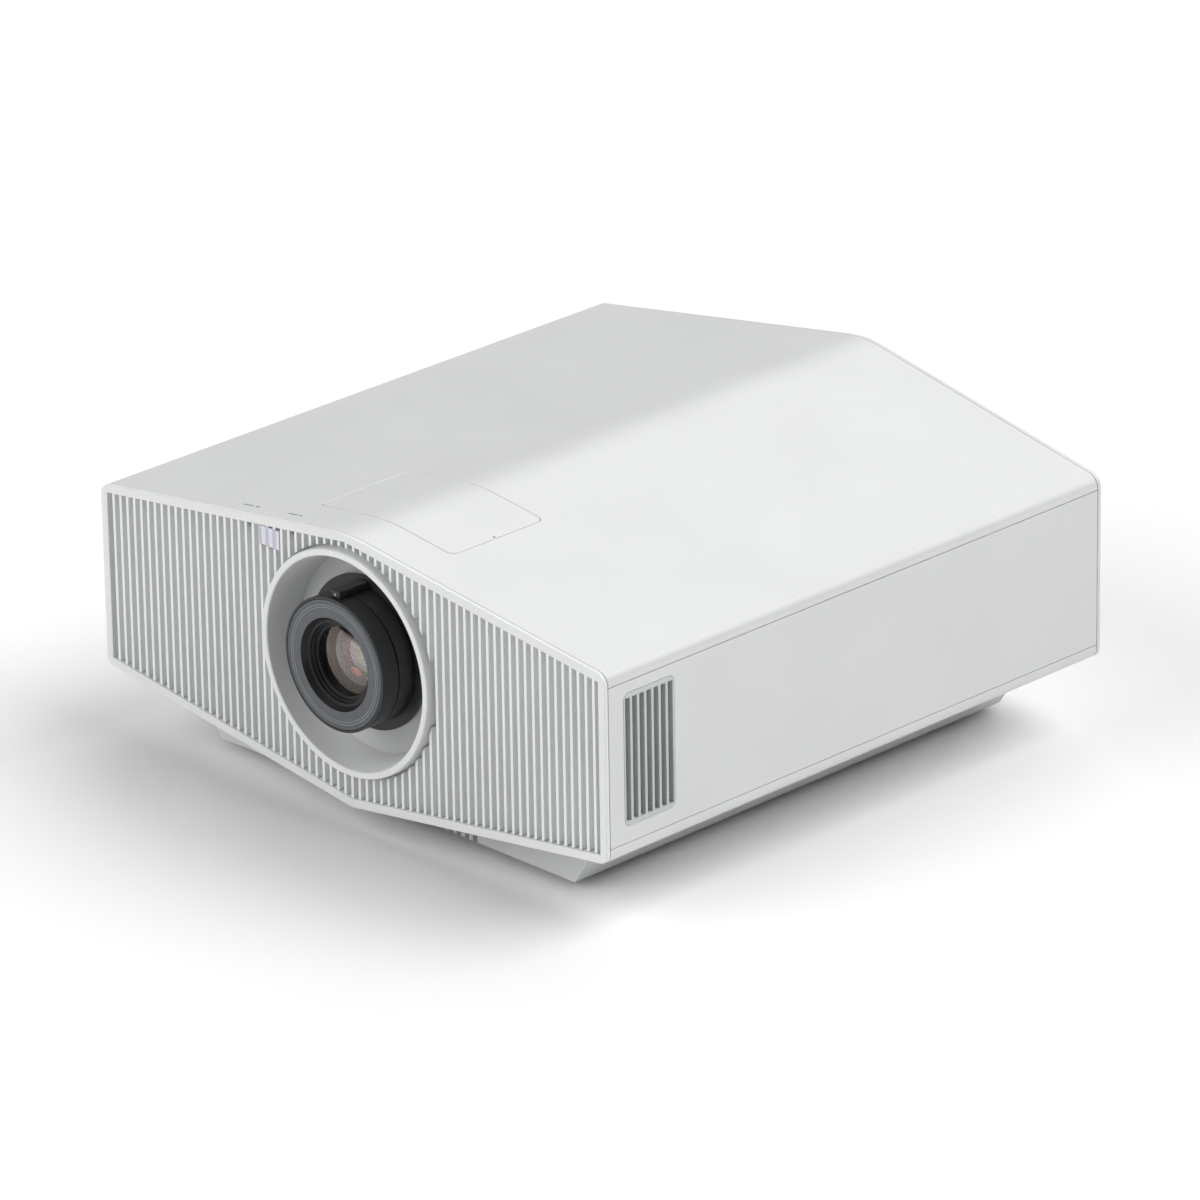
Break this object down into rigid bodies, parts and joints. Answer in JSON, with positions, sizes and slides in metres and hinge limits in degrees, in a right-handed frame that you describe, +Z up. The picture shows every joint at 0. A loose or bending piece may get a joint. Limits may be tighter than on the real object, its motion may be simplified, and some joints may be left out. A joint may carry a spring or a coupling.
{
  "type": "home projector",
  "caption": "Wide white home-cinema projector with a pitched roof, a ribbed front and a deep-set central lens with shift, zoom and focus.",
  "frame": {"origin": "on the floor, at the middle of the projector's own box", "axes": "-Y the way the lens looks, +X to the right of someone facing the lens, +Z up"},
  "size_m": [0.46, 0.4836, 0.2038],
  "materials": {
    "white_cover": "satin moulded white",
    "white_frame": "satin moulded white",
    "white_grille": "satin moulded white ribs",
    "white_ring": "satin moulded white cone",
    "pale_shield": "satin light grey",
    "vent_grey": "matt mid grey",
    "lens_black": "matt black paint",
    "lens_face": "satin dark grey",
    "grip_black": "satin black grip",
    "flange_black": "satin black",
    "coated_glass": "multi-coated lens glass",
    "tinted_window": "translucent lavender",
    "light_pipe": "clear light pipe",
    "steel": "bright steel",
    "zinc_steel": "zinc-plated sheet",
    "cast_magnesium": "as-cast light alloy",
    "aluminium": "extruded fins",
    "black_plastic": "matt black",
    "dial_grey": "satin grey, knurled",
    "tray_grey": "matt grey",
    "brass": "turned brass",
    "foot_rubber": "matt rubber",
    "filter_foam": "open filter cloth",
    "board_green": "solder-masked board",
    "key_white": "satin moulded white"
  },
  "bodies": {
    "housing": {"air_filter": "filter_foam", "base_pan": "white_cover", "bottom_cover": "white_cover", "case_screws": "steel", "chassis_deck": "zinc_steel", "connector_plate": "black_plastic", "data_sockets": "steel", "dial_tray": "tray_grey", "exhaust_fan_frame": "black_plastic", "front_bezel": "white_frame", "front_grille": "white_grille", "heat_sink": "aluminium", "intake_fan_frame": "black_plastic", "jack_sockets": "black_plastic", "key_board": "board_green", "key_plate": "tray_grey", "left_side_panel": "white_cover", "left_vent": "vent_grey", "lens_ring": "white_ring", "lens_shield": "pale_shield", "light_engine": "cast_magnesium", "light_source": "zinc_steel", "main_board": "board_green", "mount_inserts": "brass", "network_socket": "steel", "power_inlet": "black_plastic", "power_supply": "zinc_steel", "rear_feet": "foot_rubber", "rear_panel": "white_cover", "remote_window": "tinted_window", "right_side_panel": "white_cover", "right_vent": "vent_grey", "shift_base": "zinc_steel", "status_lights": "light_pipe", "top_cover": "white_cover", "upright_rods": "steel", "video_sockets": "steel"},
    "focus_ring": {"focus_ring": "grip_black"},
    "zoom_ring": {"zoom_ring": "grip_black"},
    "middle_carriage": {"middle_carriage": "black_plastic", "level_rods": "steel"},
    "lens": {"lens_carriage": "black_plastic", "lens_barrel": "lens_black", "lens_flange": "flange_black", "name_ring": "lens_face", "front_glass": "coated_glass"},
    "rise_dial": {"rise_dial": "dial_grey"},
    "side_dial": {"side_dial": "dial_grey"},
    "dial_cover": {"dial_cover": "white_cover"},
    "front_left_foot": {"front_left_foot": "foot_rubber"},
    "front_right_foot": {"front_right_foot": "foot_rubber"},
    "intake_fan_rotor": {"intake_fan_rotor": "black_plastic"},
    "exhaust_fan_rotor": {"exhaust_fan_rotor": "black_plastic"},
    "power_key": {"power_key": "key_white"},
    "up_key": {"up_key": "key_white"},
    "left_key": {"left_key": "key_white"},
    "enter_key": {"enter_key": "key_white"},
    "right_key": {"right_key": "key_white"},
    "down_key": {"down_key": "key_white"},
    "menu_key": {"menu_key": "key_white"}
  },
  "joints": [
    {"name": "focus_turn", "type": "hinge", "parent": "lens", "child": "focus_ring", "pos_m": [0, -0.23025, 0.1195], "axis": [0, 1, 0], "range_deg": [-60, 60]},
    {"name": "zoom_turn", "type": "hinge", "parent": "lens", "child": "zoom_ring", "pos_m": [0, -0.23025, 0.1195], "axis": [0, 1, 0], "range_deg": [-35, 35]},
    {"name": "rise_dial_turn", "type": "hinge", "parent": "housing", "child": "rise_dial", "pos_m": [0.034, -0.16225, 0.185], "axis": [0, 0, 1], "range_deg": [-360, 360]},
    {"name": "lens_rise", "type": "slide", "parent": "housing", "child": "middle_carriage", "axis": [0, 0, 1], "range_m": [-0.004, 0.004]},
    {"name": "side_dial_turn", "type": "hinge", "parent": "housing", "child": "side_dial", "pos_m": [-0.034, -0.13995, 0.185], "axis": [0, 0, 1], "range_deg": [-33, 33]},
    {"name": "lens_side_shift", "type": "slide", "parent": "middle_carriage", "child": "lens", "axis": [1, 0, 0], "range_m": [-0.003, 0.003]},
    {"name": "dial_cover_lift", "type": "slide", "parent": "housing", "child": "dial_cover", "axis": [0, 0, 1], "range_m": [0, 0.04]},
    {"name": "front_left_foot_screw", "type": "slide", "parent": "housing", "child": "front_left_foot", "axis": [0, 0, -1], "range_m": [0, 0.012]},
    {"name": "front_right_foot_screw", "type": "slide", "parent": "housing", "child": "front_right_foot", "axis": [0, 0, -1], "range_m": [0, 0.012]},
    {"name": "intake_fan_spin", "type": "hinge", "parent": "housing", "child": "intake_fan_rotor", "pos_m": [0.194, -0.16025, 0.1145], "axis": [1, 0, 0], "continuous": true},
    {"name": "exhaust_fan_spin", "type": "hinge", "parent": "housing", "child": "exhaust_fan_rotor", "pos_m": [-0.194, -0.16025, 0.1145], "axis": [1, 0, 0], "continuous": true},
    {"name": "power_key_press", "type": "slide", "parent": "housing", "child": "power_key", "axis": [1, 0, 0], "range_m": [0, 0.001], "stiffness_N_per_m": 600},
    {"name": "up_key_press", "type": "slide", "parent": "housing", "child": "up_key", "axis": [1, 0, 0], "range_m": [0, 0.001], "stiffness_N_per_m": 600},
    {"name": "left_key_press", "type": "slide", "parent": "housing", "child": "left_key", "axis": [1, 0, 0], "range_m": [0, 0.001], "stiffness_N_per_m": 600},
    {"name": "enter_key_press", "type": "slide", "parent": "housing", "child": "enter_key", "axis": [1, 0, 0], "range_m": [0, 0.001], "stiffness_N_per_m": 600},
    {"name": "right_key_press", "type": "slide", "parent": "housing", "child": "right_key", "axis": [1, 0, 0], "range_m": [0, 0.001], "stiffness_N_per_m": 600},
    {"name": "down_key_press", "type": "slide", "parent": "housing", "child": "down_key", "axis": [1, 0, 0], "range_m": [0, 0.001], "stiffness_N_per_m": 600},
    {"name": "menu_key_press", "type": "slide", "parent": "housing", "child": "menu_key", "axis": [1, 0, 0], "range_m": [0, 0.001], "stiffness_N_per_m": 600}
  ],
  "couplings": [
    {"joint": "rise_dial_turn", "follows": "lens_rise", "rad_per_m": 1570.8},
    {"joint": "side_dial_turn", "follows": "lens_side_shift", "rad_per_m": 188.68}
  ]
}
